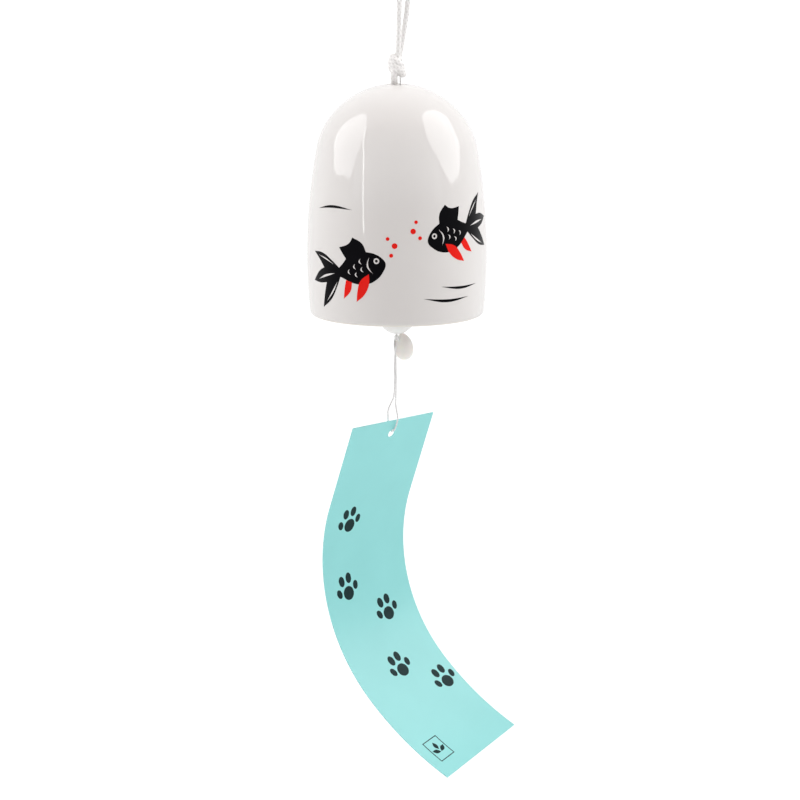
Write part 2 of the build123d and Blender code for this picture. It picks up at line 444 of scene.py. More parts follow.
def bored_ball(
    name: str, radius: float, bore: float, middle: Vector, steps: int, ease: float = 0.5 * MM
) -> bpy.types.Object:
    """Turns a ball with a through bore whose edges are eased.

    Args:
        name: The piece's name.
        radius: The ball's radius.
        bore: The bore's radius.
        middle: The ball's centre.
        steps: How many steps the full turn has.
        ease: The radius of the bore's edges.

    Returns:
        The new piece.
    """
    ease_steps, side_steps = 5, 24
    reach = bore + ease
    rise = math.sqrt((radius - ease) ** 2 - reach**2)
    top, foot = Vector((reach, rise)), Vector((reach, -rise))
    centre = Vector((0, 0))
    top_out, foot_out = (end * radius / (radius - ease) for end in (top, foot))
    top_in, foot_in = Vector((bore, rise)), Vector((bore, -rise))
    side = Vector((radius, 0))
    profile = [
        top_in,
        *arc(top, top_in, top_out, ease_steps),
        *arc(centre, top_out, side, side_steps),
        *arc(centre, side, foot_out, side_steps),
        *arc(foot, foot_out, foot_in, ease_steps),
        top_in,
    ]
    return turned(name, profile, middle, steps)


class Lay(Enum):
    """How a cord's yarns lie."""

    BRAID = "yarns wound both ways, over and under each other"
    TWIST = "plies wound one way round each other"


@dataclass(frozen=True)
class CordMake:
    """A cord's build: its yarns, their lay and their section."""

    lay: Lay
    diameter: float
    each_way: int
    turn: float
    width: float
    thickness: float
    rise: float = 0.0
    spacing: float = 0.2 * MM
    sides: int = 8
    least_core: float = 0.05 * MM

    def core(self) -> float:
        """The radius of the plain core that the yarns lie on."""
        return max(self.diameter / 2 - self.thickness - self.rise, self.least_core)

    def runs(self) -> list[tuple[float, int]]:
        """The start angle and the way round of each yarn."""
        ways = (1, -1) if self.lay is Lay.BRAID else (1,)
        starts = [math.tau * yarn / self.each_way for yarn in range(self.each_way)]
        return [(start, way) for way in ways for start in starts]

    def reach(self, along: float, way: int) -> float:
        """A yarn's distance from the cord's middle at a length along it."""
        middle = self.diameter / 2 - self.rise - self.thickness / 2
        return middle + way * self.rise * math.cos(self.each_way * math.tau * along / self.turn)


def length_of(line: Sequence[Vector]) -> float:
    """The length of a line of points."""
    return sum((after - before).length for before, after in zip(line, line[1:]))


def spline_line(points: Sequence[Vector], spacing: float) -> list[Vector]:
    """Reads the smooth line of an open spline that has a cord's route as its control points.

    Args:
        points: The route's points.
        spacing: About how far apart the line's points are.

    Returns:
        The line's points.
    """
    least_steps = 4
    curve = bpy.data.curves.new("route", "CURVE")
    curve.dimensions = "3D"
    curve.resolution_u = max(least_steps, round(length_of(points) / spacing / (len(points) - 2)))
    spline = curve.splines.new("NURBS")
    spline.points.add(len(points) - 1)
    for control, point in zip(spline.points, points):
        control.co = (*point, 1.0)
    spline.order_u = 3
    spline.use_endpoint_u = True
    holder = bpy.data.objects.new("route", curve)
    mesh = bpy.data.meshes.new_from_object(holder)
    line = [vertex.co.copy() for vertex in mesh.vertices]
    bpy.data.objects.remove(holder)
    bpy.data.curves.remove(curve)
    bpy.data.meshes.remove(mesh)
    return line


def laid_cord(name: str, line: Sequence[Vector], make: CordMake) -> bpy.types.Object:
    """Lays a cord's yarns along a line, each a tube of its own round a plain core.

    Args:
        name: The piece's name.
        line: The points of the cord's middle.
        make: How the cord is made.

    Returns:
        The new piece, with a UV map of length along each yarn and place round it.
    """
    behind, ahead = [line[0], *line[:-1]], [*line[1:], line[-1]]
    tangents = [(after - before).normalized() for before, after in zip(behind, ahead)]
    normal = tangents[0].orthogonal().normalized()
    sides, runs = make.sides, make.runs()
    angles = [math.tau * side / sides for side in range(sides)]
    circle = [(math.cos(angle), math.sin(angle)) for angle in angles]
    tubes: list[list[list[Vector]]] = [[] for _ in range(len(runs) + 1)]
    lengths = []
    along = 0.0
    for point, before, tangent in zip(line, behind, tangents):
        along += (point - before).length
        lengths.append(along)
        normal = (normal - tangent * normal.dot(tangent)).normalized()
        across = tangent.cross(normal)
        for tube, (start, way) in zip(tubes, runs):
            angle = start + way * math.tau * along / make.turn
            out = normal * math.cos(angle) + across * math.sin(angle)
            aside = across * math.cos(angle) - normal * math.sin(angle)
            middle = point + out * make.reach(along, way)
            tube.append(
                [middle + out * make.thickness / 2 * x + aside * make.width / 2 * y for x, y in circle]
            )
        tubes[-1].append([point + make.core() * (normal * x + across * y) for x, y in circle])
    vertices: list[Vector] = []
    faces: list[tuple[int, ...]] = []
    places: list[tuple[float, float]] = []
    for tube in tubes:
        base = len(vertices)
        vertices += [place for ring in tube for place in ring]
        for step in range(len(tube) - 1):
            for side in range(sides):
                low, high = base + step * sides, base + (step + 1) * sides
                other = (side + 1) % sides
                faces.append((low + side, low + other, high + other, high + side))
                near, far = lengths[step], lengths[step + 1]
                left, right = side / sides, (side + 1) / sides
                places += [(near, left), (near, right), (far, right), (far, left)]
        last = base + (len(tube) - 1) * sides
        faces.append(tuple(base + side for side in reversed(range(sides))))
        faces.append(tuple(last + side for side in range(sides)))
        places += [(0.0, 0.0)] * (2 * sides)
    mesh = bpy.data.meshes.new(name)
    mesh.from_pydata(vertices, [], faces)
    uv = mesh.uv_layers.new(name="lay")
    for loop, place in zip(uv.data, places):
        loop.uv = place
    piece = put(name, mesh)
    face_alike(piece)
    bpy.ops.object.shade_smooth_by_angle(angle=CORD_EDGE)
    return piece


def declare_cord(
    line: Sequence[Vector],
    start: Vector,
) -> None:
    """Reads the length, start and points of a cord that has both its ends on the object, and keeps none of
    them.

    Args:
        line: The points of its middle.
        start: Where it starts.
    """
    length_of(line)
    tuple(start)
    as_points(line)


def thread_knot(name: str, middle: Vector, radius: float, make: CordMake) -> bpy.types.Object:
    """Ties a thread into one tight overhand knot.

    Args:
        name: The piece's name.
        middle: The knot's middle.
        radius: How far the knot reaches.
        make: How the thread is made.

    Returns:
        The new piece.
    """
    steps, widest, depth = 120, 3, 2.2
    size = (radius - make.diameter / 2) / widest
    line = []
    for step in range(steps + 1):
        turn = math.tau * step / steps
        x = math.sin(turn) + 2 * math.sin(2 * turn)
        y = math.cos(turn) - 2 * math.cos(2 * turn)
        line.append(middle + size * Vector((x, y, -depth * math.sin(3 * turn))))
    return laid_cord(name, line, make)


def flat_print(name: str, outlines: Sequence[Outline], cell: float) -> bpy.types.Object:
    """Fills outlines as one flat mesh and cuts it into cells, so that it can follow a curved face.

    Args:
        name: The piece's name.
        outlines: Closed smooth outlines in metres; one inside another is a hole.
        cell: The width of the cells.

    Returns:
        The flat piece.
    """
    curve = bpy.data.curves.new(name, "CURVE")
    curve.dimensions = "2D"
    curve.fill_mode = "BOTH"
    curve.resolution_u = 6
    for outline in outlines:
        spline = curve.splines.new("BEZIER")
        spline.bezier_points.add(len(outline) - 1)
        for point, place in zip(spline.bezier_points, outline):
            point.co = (*place[:2], 0)
            point.handle_left_type = point.handle_right_type = "VECTOR" if len(place) > 2 else "AUTO"
        spline.use_cyclic_u = True
    pick(put(name, curve))
    bpy.ops.object.convert(target="MESH")
    piece = bpy.context.object
    corners = [vertex.co.copy() for vertex in piece.data.vertices]
    bpy.ops.object.mode_set(mode="EDIT")
    for axis, way in ((0, Vector((1, 0, 0))), (1, Vector((0, 1, 0)))):
        low, high = min(place[axis] for place in corners), max(place[axis] for place in corners)
        for cut in range(1, math.ceil((high - low) / cell)):
            bpy.ops.mesh.select_all(action="SELECT")
            bpy.ops.mesh.bisect(plane_co=way * (low + cut * cell), plane_no=way)
    bpy.ops.mesh.select_all(action="SELECT")
    bpy.ops.mesh.remove_doubles(threshold=MERGE)
    bpy.ops.object.mode_set(mode="OBJECT")
    return piece


def lay_print(
    piece: bpy.types.Object, place: Callable[[float, float, float], Vector], lift: float, film: float
) -> bpy.types.Object:
    """Lays a flat print on a face as a closed film.

    Args:
        piece: The flat piece.
        place: Gives the point for the print's two coordinates and a height above the face.
        lift: The film's lower height above the face.
        film: The film's thickness.

    Returns:
        The piece.
    """
    flat = [vertex.co.copy() for vertex in piece.data.vertices]
    for vertex, spot in zip(piece.data.vertices, flat):
        vertex.co = place(spot.x, spot.y, lift)
    face_alike(piece)
    face = piece.data.polygons[0]
    spot = flat[face.vertices[0]]
    outward = place(spot.x, spot.y, lift + film) - place(spot.x, spot.y, lift)
    if face.normal.dot(outward) < 0:
        piece.data.flip_normals()
    solid = piece.modifiers.new("film", "SOLIDIFY")
    solid.thickness = film
    solid.offset = 1.0
    bpy.ops.object.modifier_apply(modifier=solid.name)
    bpy.ops.object.shade_smooth_by_angle(angle=FILM_EDGE)
    return piece


# Sub-assemblies


BRAID = CordMake(Lay.BRAID, 1.95 * MM, 4, 8.0 * MM, 0.86 * MM, 0.4 * MM, 0.11 * MM)
KNOT_BRAID = CordMake(Lay.BRAID, 2.8 * MM, 6, 9.0 * MM, 0.96 * MM, 0.42 * MM, 0.08 * MM)
NECK_BRAID = CordMake(Lay.BRAID, 2.5 * MM, 6, 9.0 * MM, 0.88 * MM, 0.4 * MM, 0.06 * MM)
LINE_TWIST = CordMake(Lay.TWIST, 0.8 * MM, 3, 3.0 * MM, 0.42 * MM, 0.4 * MM)
THREAD_TWIST = CordMake(Lay.TWIST, 0.68 * MM, 2, 2.0 * MM, 0.42 * MM, 0.34 * MM)


@dataclass
class Finishes:
    """The object's finishes, each with its material built once."""

    porcelain: Finish = GlazedPorcelain("glazed_porcelain", foot_z=RIM_Z)
    clapper: Finish = GlazedPorcelain("glazed_clapper", low="#efecea", high="#f4f2f0")
    black: Finish = PrintInk("black_print", "white_porcelain", "#050609", "#0b0c10", roughness=0.14)
    red: Finish = PrintInk("red_print", "white_porcelain", "#e5170f", "#f3241a", roughness=0.2)
    paw: Finish = PrintInk("paw_print", "strip_paper", "#152c2d", "#213b3c", 2 * MM)
    # A yarn's low shade is painted shade in its grooves and the darker of its fibres; its high shade is its
    # own white.
    cord: Finish = Yarn("braided_yarn", "braided_cord", "#eeecea", "#fefdfc", 0.12 * MM)
    thread: Finish = Yarn("twisted_thread", "white_thread", "#f6f5f4", WHITE, 0.1 * MM, sheen=0.4, glow=0.8)
    bead: Finish = MouldedBead()
    paper: Finish = CoatedPaper()
    made: dict[str, bpy.types.Material] = field(default_factory=dict)

    def dress(self, piece: bpy.types.Object, body: str, finish: Finish, node: str = "") -> bpy.types.Object:
        """Gives a finished piece its material and hands it to the body that carries it.

        Args:
            piece: The piece, with its place in its mesh.
            body: The body that it moves with.
            finish: Its finish, which holds its slot's name and is built at its first use.
            node: The frame's node that the piece stands for, where it has one.

        Returns:
            The piece.
        """
        if finish.name not in self.made:
            self.made[finish.name] = finish.material()
        piece.data.materials.clear()
        piece.data.materials.append(self.made[finish.name])
        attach(piece, body)
        if node:
            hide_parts(node)
        log.info("%s rides on %s with %d faces", piece.name, body, len(piece.data.polygons))
        return piece


@dataclass
class HangingCord:
    """The braided cord that goes up from the knot, over the hook and back."""

    finishes: Finishes
    hook: float = 2.4 * MM
    first_end: Spot = (-0.1, -0.5, -31.0)
    last_end: Spot = (0.3, 0.6, -31.0)
    foot_z: float = -26.6 * MM
    foot_right: float = 1.2 * MM
    half_x: float = 0.5 * MM
    half_y: float = 1.05 * MM

    def build(self) -> None:
        radius = (self.hook + BRAID.diameter) / 2
        top = BRAID.diameter / 2
        foot = AXIS + Vector((self.foot_right, 0, self.foot_z))
        first, last = route_from(AXIS, (self.first_end, self.last_end))
        route = [
            first,
            foot + Vector((-self.half_x, -self.half_y, 0)),
            Vector((-radius, 0, top)),
            Vector((radius, 0, top)),
            foot + Vector((self.half_x, self.half_y, 0)),
            last,
        ]
        line = spline_line(route, BRAID.spacing)
        loop = laid_cord("hanging_loop", line, BRAID)
        self.finishes.dress(loop, "hanger", self.finishes.cord, "hanging_cord")
        declare_cord(line, first)


@dataclass
class CrownKnot:
    """The knot over the crown: slanting wraps of the same cord, wound round its own ends and wider below."""

    finishes: Finishes
    start: Spot = (0.2, 0.6, -28.6)
    end: Spot = (0.4, 0.5, -35.6)
    top_z: float = -29.7 * MM
    top_radius: float = 1.25 * MM
    foot_radius: float = 2.05 * MM
    pitch: float = 1.95 * MM
    turns: float = 2.3
    first_turn: float = -0.1
    widening: float = 1.6
    slant: float = 0.72
    steps_per_turn: int = 16

    def build(self) -> None:
        """Winds the wraps and lays the cord along them."""
        count = round(self.turns * self.steps_per_turn)
        first, last = route_from(AXIS, (self.start, self.end))
        route = [first]
        for step in range(count + 1):
            share = min(1.0, self.widening * (step / count))
            turn = math.tau * (step / self.steps_per_turn + self.first_turn)
            radius = self.top_radius + (self.foot_radius - self.top_radius) * share
            across = -radius * math.sin(turn)
            rise = self.top_z - self.pitch * step / self.steps_per_turn - self.slant * across
            route.append(AXIS + Vector((across, radius * math.cos(turn), rise)))
        route.append(last)
        knot = laid_cord("wrapped_knot", spline_line(route, KNOT_BRAID.spacing), KNOT_BRAID)
        self.finishes.dress(knot, "knot", self.finishes.cord, "crown_knot")


@dataclass
class Neck:
    """The thick leg and the thin one that come out of the knot's front and go down through the crown."""

    finishes: Finishes
    leg: Route = (
        (-0.3, -0.9, -32.6), (-1.0, -2.0, -34.2), (-1.1, -1.6, -36.0), (-0.8, -0.3, -37.6),
        (-0.7, 0.0, -40.0), (-0.7, 0.0, -47.4),
    )
    strand: Route = ((0.9, -1.2, -33.4), (1.1, -0.7, -35.4), (1.25, 0.0, -37.6), (1.25, 0.0, -47.4))

    def build(self) -> None:
        """Lays both legs."""
        legs = (
            ("neck_leg", self.leg, NECK_BRAID, self.finishes.cord, "neck_cord"),
            ("neck_strand", self.strand, THREAD_TWIST, self.finishes.thread, "neck_thread"),
        )
        for name, places, make, finish, node in legs:
            leg = laid_cord(name, spline_line(route_from(AXIS, places), make.spacing), make)
            self.finishes.dress(leg, "bell", finish, node)


@dataclass
class Bell:
    """The porcelain shell, the bead that carries it and the goldfish printed round it."""

    finishes: Finishes
    rim_z: float = RIM_Z
    height: float = 79.3 * MM
    belly_radius: float = 31.0 * MM
    belly_height: float = 20.618 * MM
    belly_arc: float = 200.629 * MM
    shoulder_radius: float = 24.8055 * MM
    shoulder_reach: float = 3.1817 * MM
    shoulder_height: float = 53.0276 * MM
    crown_radius: float = 28.9894 * MM
    wall: float = 3.0 * MM
    hole_radius: float = 3.0 * MM
    hole_round: float = 0.8 * MM
    bead_z: float = -44.76 * MM
    bead_radius: float = 4.75 * MM
    bead_bore: float = 1.92 * MM
    shell_steps: int = 160
    bead_steps: int = 64
    film: float = 0.03 * MM

    def __post_init__(self) -> None:
        """Works out the centres of the profile's arcs and where they meet."""
        self.belly = Vector((self.belly_radius - self.belly_arc, self.belly_height))
        self.shoulder = Vector((self.shoulder_reach, self.shoulder_height))
        self.crown = Vector((0, self.height - self.crown_radius))
        self.belly_end = self.belly + (self.shoulder - self.belly).normalized() * self.belly_arc
        self.crown_end = self.crown + (self.shoulder - self.crown).normalized() * self.crown_radius

    def shell_profile(self) -> list[Vector]:
        """The closed profile: outside, crown hole, inside and round lip, each arc with its count of steps."""
        lip = self.wall / 2
        level = lip - self.belly.y
        inner_arc = self.belly_arc - self.wall
        rim_out, rim_in = (
            self.belly + Vector((math.sqrt(radius**2 - level**2), level))
            for radius in (self.belly_arc, inner_arc)
        )
        lip_foot = Vector(((rim_out.x + rim_in.x) / 2, 0))
        lip_middle = Vector((lip_foot.x, lip))
        belly_in = self.belly + (self.belly_end - self.belly) * (inner_arc / self.belly_arc)
        inner_crown = self.crown_radius - self.wall
        crown_in = self.crown + (self.crown_end - self.crown) * (inner_crown / self.crown_radius)
        reach = self.hole_radius + self.hole_round
        out_radius, in_radius = self.crown_radius - self.hole_round, inner_crown + self.hole_round
        ease_out, ease_in = (
            self.crown + Vector((reach, math.sqrt(radius**2 - reach**2)))
            for radius in (out_radius, in_radius)
        )
        hole_out = self.crown + (ease_out - self.crown) * (self.crown_radius / out_radius)
        hole_in = self.crown + (ease_in - self.crown) * (inner_crown / in_radius)
        wall_out, wall_in = (Vector((self.hole_radius, ease.y)) for ease in (ease_out, ease_in))
        return [
            rim_out,
            *arc(self.belly, rim_out, self.belly_end, 36),
            *arc(self.shoulder, self.belly_end, self.crown_end, 20),
            *arc(self.crown, self.crown_end, hole_out, 14),
            *arc(ease_out, hole_out, wall_out, 5),
            wall_in,
            *arc(ease_in, wall_in, hole_in, 5),
            *arc(self.crown, hole_in, crown_in, 12),
            *arc(self.shoulder, crown_in, belly_in, 16),
            *arc(self.belly, belly_in, rim_in, 28),
            *arc(lip_middle, rim_in, lip_foot, 6),
            *arc(lip_middle, lip_foot, rim_out, 6),
        ]

    def surface(self, around: float, height: float, lift: float) -> Vector:
        """The point on the outside at a way round, a height over the rim and a lift off the glaze.

        Args:
            around: Way round from the front, along the belly's widest ring.
            height: Height over the rim.
            lift: Distance off the surface.

        Returns:
            The point in the frame.
        """
        centre, radius = self.belly, self.belly_arc
        if height > self.belly_end.y:
            centre, radius = self.shoulder, self.shoulder_radius
        level = height - centre.y
        out = Vector((math.sqrt(radius**2 - level**2), level)) / radius
        reach = centre + out * (radius + lift)
        angle = around / self.belly_radius
        right, back = reach.x * math.sin(angle), -reach.x * math.cos(angle)
        return AXIS + Vector((right, back, self.rim_z + reach.y))

    def build(self) -> None:
        """Turns the shell and the bead, then prints the shell."""
        foot = AXIS + UP * self.rim_z
        shell = turned("porcelain_shell", self.shell_profile(), foot, self.shell_steps)
        self.finishes.dress(shell, "bell", self.finishes.porcelain, "bell_shell")
        middle = AXIS + UP * self.bead_z
        bead = bored_ball("carrying_bead", self.bead_radius, self.bead_bore, middle, self.bead_steps)
        self.finishes.dress(bead, "bell", self.finishes.bead, "stop_bead")
        Goldfish(self.finishes, self).build()


class Facing(Enum):
    """The side that a printed fish swims to."""

    RIGHT = 1
    LEFT = -1


@dataclass(frozen=True)
class Swimmer:
    """One goldfish of the print: its place round the bell and over the rim, its tilt, size and way."""

    around: float
    height: float
    tilt: float
    size: float
    facing: Facing


@dataclass
class Goldfish:
    """A generic print in millimetres: black goldfish with red fins and bubbles, and strokes of water."""

    finishes: Finishes
    bell: Bell
    swimmers: Sequence[Swimmer] = (
        Swimmer(-14.0, 19.5, 14.0, 0.95, Facing.RIGHT),
        Swimmer(20.5, 31.0, 12.0, 0.92, Facing.LEFT),
    )
    still: Swimmer = Swimmer(0.0, 0.0, 0.0, 1.0, Facing.RIGHT)
    body: Outline = (
        (11.0, -0.3), (10.0, 2.0), (7.6, 4.1), (5.0, 5.2, 1), (4.2, 8.4), (1.0, 11.2, 1), (-1.0, 9.4),
        (-5.4, 8.8, 1), (-4.4, 6.4), (-3.4, 4.3, 1), (-5.2, 2.9), (-7.2, 1.7, 1), (-10.0, 4.8), (-14.4, 8.2),
        (-20.0, 9.6, 1), (-17.0, 6.4), (-14.8, 3.0, 1), (-18.2, 2.2), (-23.0, -0.6, 1), (-18.6, -2.0),
        (-14.8, -2.4, 1), (-16.8, -5.6), (-19.6, -10.8, 1), (-14.0, -8.6), (-9.8, -4.6), (-7.4, -1.5, 1),
        (-5.4, -2.8), (-2.0, -4.9), (2.2, -6.0), (6.4, -5.2), (9.4, -3.0),
    )
    lines: Sequence[Outline] = (
        ((5.9, 3.4, 1), (4.7, 0.4), (5.7, -3.0, 1), (4.1, 0.3)),
        ((-9.2, 3.1, 1), (-13.2, 6.2), (-17.4, 8.0, 1), (-13.0, 5.5)),
        ((-9.6, 0.1, 1), (-14.4, 0.45), (-19.4, -0.6, 1), (-14.4, -0.35)),
        ((-9.0, -2.7, 1), (-12.6, -5.7), (-17.0, -9.2, 1), (-12.2, -6.2)),
    )
    scales: Sequence[tuple[float, float]] = (
        (2.4, 2.3), (2.4, -0.6), (-0.2, 0.9), (-0.2, -2.0), (-2.8, -0.5),
    )
    scale_half: float = 1.1
    scale_back: float = 1.0
    scale_hollow: float = 0.45
    eye: tuple[float, float] = (8.0, 1.3)
    eye_rings: tuple[float, float] = (1.05, 0.5)
    fins: Sequence[Outline] = (
        ((4.2, -2.6, 1), (3.4, -6.0), (0.8, -9.4), (-3.0, -11.4, 1), (-1.6, -7.6), (0.4, -4.4)),
        ((-3.0, -4.3, 1), (-4.4, -7.2), (-8.0, -9.4, 1), (-6.6, -5.8), (-5.2, -3.0, 1)),
    )
    bubbles: Sequence[Spot] = ((13.6, 2.0, 0.7), (15.6, 5.0, 1.0), (13.8, 8.0, 0.65))
    ripples: Sequence[Outline] = (
        ((9.0, 9.6, 1), (18.0, 7.9), (28.0, 9.0, 1), (18.0, 8.9)),
        ((15.5, 13.4, 1), (23.5, 12.0), (32.5, 12.9, 1), (23.5, 12.9)),
        ((-33.0, 38.5, 1), (-25.0, 40.2), (-16.0, 39.2, 1), (-25.0, 39.3)),
    )
    cell: float = 1.4 * MM
    black_lift: float = 0.2
    red_lift: float = 0.8

    def ring(self, x: float, y: float, radius: float) -> Outline:
        """A round outline."""
        turns = [math.tau * step / ROUND_POINTS for step in range(ROUND_POINTS)]
        return [(x + radius * math.cos(turn), y + radius * math.sin(turn)) for turn in turns]

    def scale(self, x: float, y: float) -> Outline:
        """One scale's white crescent, its round edge to the tail."""
        top, foot = y + self.scale_half, y - self.scale_half
        return (x, top, 1), (x - self.scale_back, y), (x, foot, 1), (x - self.scale_hollow, y)

    def press(
        self, name: str, outlines: Sequence[Outline], spot: Swimmer, turn: float, ink: Finish, lift: float
    ) -> None:
        """Prints outlines on the bell.

        Args:
            name: The piece's name.
            outlines: The outlines, in a fish's own millimetres with its nose to the right.
            spot: Where and how they lie.
            turn: How far round the bell they are moved, in millimetres along the belly.
            ink: The ink.
            lift: The film's lower height above the glaze, in films.
        """
        lean = Matrix.Rotation(math.radians(spot.tilt), 2)
        middle = Vector((spot.around + turn, spot.height))
        placed = []
        for outline in outlines:
            line = []
            for x, y, *sharp in outline:
                point = middle + lean @ Vector((x * spot.facing.value, y)) * spot.size
                line.append((*(point * MM), *sharp))
            placed.append(line)
        piece = flat_print(name, placed, self.cell)
        lay_print(piece, self.bell.surface, lift * self.bell.film, self.bell.film)
        self.finishes.dress(piece, "bell", ink)

    def build(self) -> None:
        """Prints the same pair of fish, with its water, on the front and on the back."""
        black = [self.body, *self.lines, *(self.scale(*place) for place in self.scales)]
        black += [self.ring(*self.eye, radius) for radius in self.eye_rings]
        red = [*self.fins, *(self.ring(*bubble) for bubble in self.bubbles)]
        half_turn = math.pi * self.bell.belly_radius / MM
        brush, fins = (self.finishes.black, self.black_lift), (self.finishes.red, self.red_lift)
        for side in range(2):
            turn = side * half_turn
            for number, swimmer in enumerate(self.swimmers, 2 * side + 1):
                self.press(f"fish_{number}_brush", black, swimmer, turn, *brush)
                self.press(f"fish_{number}_fins", red, swimmer, turn, *fins)
            self.press(f"ripples_{side + 1}", self.ripples, self.still, turn, *brush)


@dataclass
class Clapper:
    """The thread inside the bell, its knot under the bead, and the porcelain ball on it."""

    finishes: Finishes
    knot_z: float = -49.95 * MM
    knot_radius: float = 2.2 * MM
    top_z: float = -52.5 * MM
    foot_z: float = -124.1 * MM
    ball_z: float = -118.25 * MM
    ball_radius: float = 6.35 * MM
    bore: float = 0.52 * MM
    steps: int = 72

    def build(self) -> None:
        """Ties the knot, lays the thread and turns the ball."""
        thread = self.finishes.thread
        knot = thread_knot("line_overhand", AXIS + UP * self.knot_z, self.knot_radius, LINE_TWIST)
        self.finishes.dress(knot, "line_swivel", thread, "line_knot")
        heights = (self.top_z, (self.top_z + self.foot_z) / 2, self.foot_z)
        route = [AXIS + UP * height for height in heights]
        line = spline_line(route, LINE_TWIST.spacing)
        cord = laid_cord("clapper_thread", line, LINE_TWIST)
        self.finishes.dress(cord, "clapper", thread, "clapper_line")
        middle = AXIS + UP * self.ball_z
        ball = bored_ball("clapper_ball", self.ball_radius, self.bore, middle, self.steps)
        self.finishes.dress(ball, "clapper", self.finishes.clapper, "clapper")
        declare_cord(line, route[0])


@dataclass
class Tail:
    """The knot under the clapper, the egg bead and the thread that carries the strip."""

    finishes: Finishes
    strip: "WindStrip"
    knot_z: float = -126.05 * MM
    knot_radius: float = 1.1 * MM
    bead_place: Vector = field(default_factory=lambda: Vector((2.4, 2.9, -4.1)) * MM)
    bead_radius: float = 3.3 * MM
    bead_rise: float = 5.2 * MM
    bead_fall: float = 4.2 * MM
    bead_side: float = 6.5 * MM
    bead_tilt: float = -8.0
    bore: float = 0.37 * MM
    bore_depth: float = 4.0 * MM
    bead_steps: int = 64
    first_leg: Route = (
        (0.0, 0.0, -1.5), (-0.35, -0.4, -3.4), (-0.75, -0.55, -6.2), (-0.85, -0.5, -11.5),
        (-0.75, -0.4, -17.0), (-1.1, -0.3, -21.0),
    )
    loop: Route = (
        (-1.9, 3.4, -2.3), (-1.7, 0.2, -1.2), (-0.9, -2.6, -0.95), (0.3, -4.3, -0.75), (0.8, -4.5, 0.6),
        (1.1, -2.0, 0.95), (0.85, 1.6, 0.9),
    )
    second_leg: Route = (
        (-0.5, -0.1, -24.4), (-0.45, 0.45, -20.6), (-0.3, 0.4, -16.0), (-0.4, 0.3, -10.5),
        (-0.45, 0.35, -5.6), (-0.9, 1.1, -3.6), (-0.85, 2.3, -1.4), (-0.3, 2.95, 0.65),
        (0.55, 2.95, 1.4), (1.4, 2.9, 1.3), (1.8, 2.9, 0.45), (1.87, 2.9, -0.8),
    )

    def end_radius(self, length: float) -> float:
        """Radius of the bead's round end that runs into its side."""
        offset = self.bead_side - self.bead_radius
        return (self.bead_side**2 - offset**2 - length**2) / (2 * (self.bead_side - length))

    def bead_profile(self) -> list[Vector]:
        """The egg's profile from foot to top and into its blind bore, each arc with its count of steps."""
        top_radius, foot_radius = self.end_radius(self.bead_rise), self.end_radius(self.bead_fall)
        side = Vector((self.bead_radius - self.bead_side, 0))
        top = Vector((0, self.bead_rise - top_radius))
        foot = Vector((0, foot_radius - self.bead_fall))
        top_end = side + (top - side).normalized() * self.bead_side
        foot_end = side + (foot - side).normalized() * self.bead_side
        mouth = top + Vector((self.bore, math.sqrt(top_radius**2 - self.bore**2)))
        floor = self.bead_rise - self.bore_depth
        pole = Vector((0, -self.bead_fall))
        return [
            pole,
            *arc(foot, pole, foot_end, 14),
            *arc(side, foot_end, top_end, 16),
            *arc(top, top_end, mouth, 12),
            Vector((self.bore, floor)),
            Vector((0, floor)),
        ]

    def build(self) -> None:
        """Ties the knot, turns the bead and lays the thread down through the paper and back."""
        middle = AXIS + UP * self.knot_z
        thread = self.finishes.thread
        knot = thread_knot("tail_overhand", middle, self.knot_radius, THREAD_TWIST)
        self.finishes.dress(knot, "tail_swivel", thread, "tail_knot")
        bead = turned("egg_bead", self.bead_profile(), Vector((0, 0, 0)), self.bead_steps)
        tilt = Matrix.Rotation(math.radians(self.bead_tilt), 4, "Y")
        bead.data.transform(Matrix.Translation(middle + self.bead_place) @ tilt)
        self.finishes.dress(bead, "tail", self.finishes.bead, "toggle_bead")
        route = route_from(middle, self.first_leg)
        route += [self.strip.flat_point(Vector(place) * MM) for place in self.loop]
        route += route_from(middle, self.second_leg)
        line = spline_line(route, THREAD_TWIST.spacing)
        cord = laid_cord("strip_twine", line, THREAD_TWIST)
        self.finishes.dress(cord, "tail", thread, "strip_thread")
        declare_cord(line, route[0])


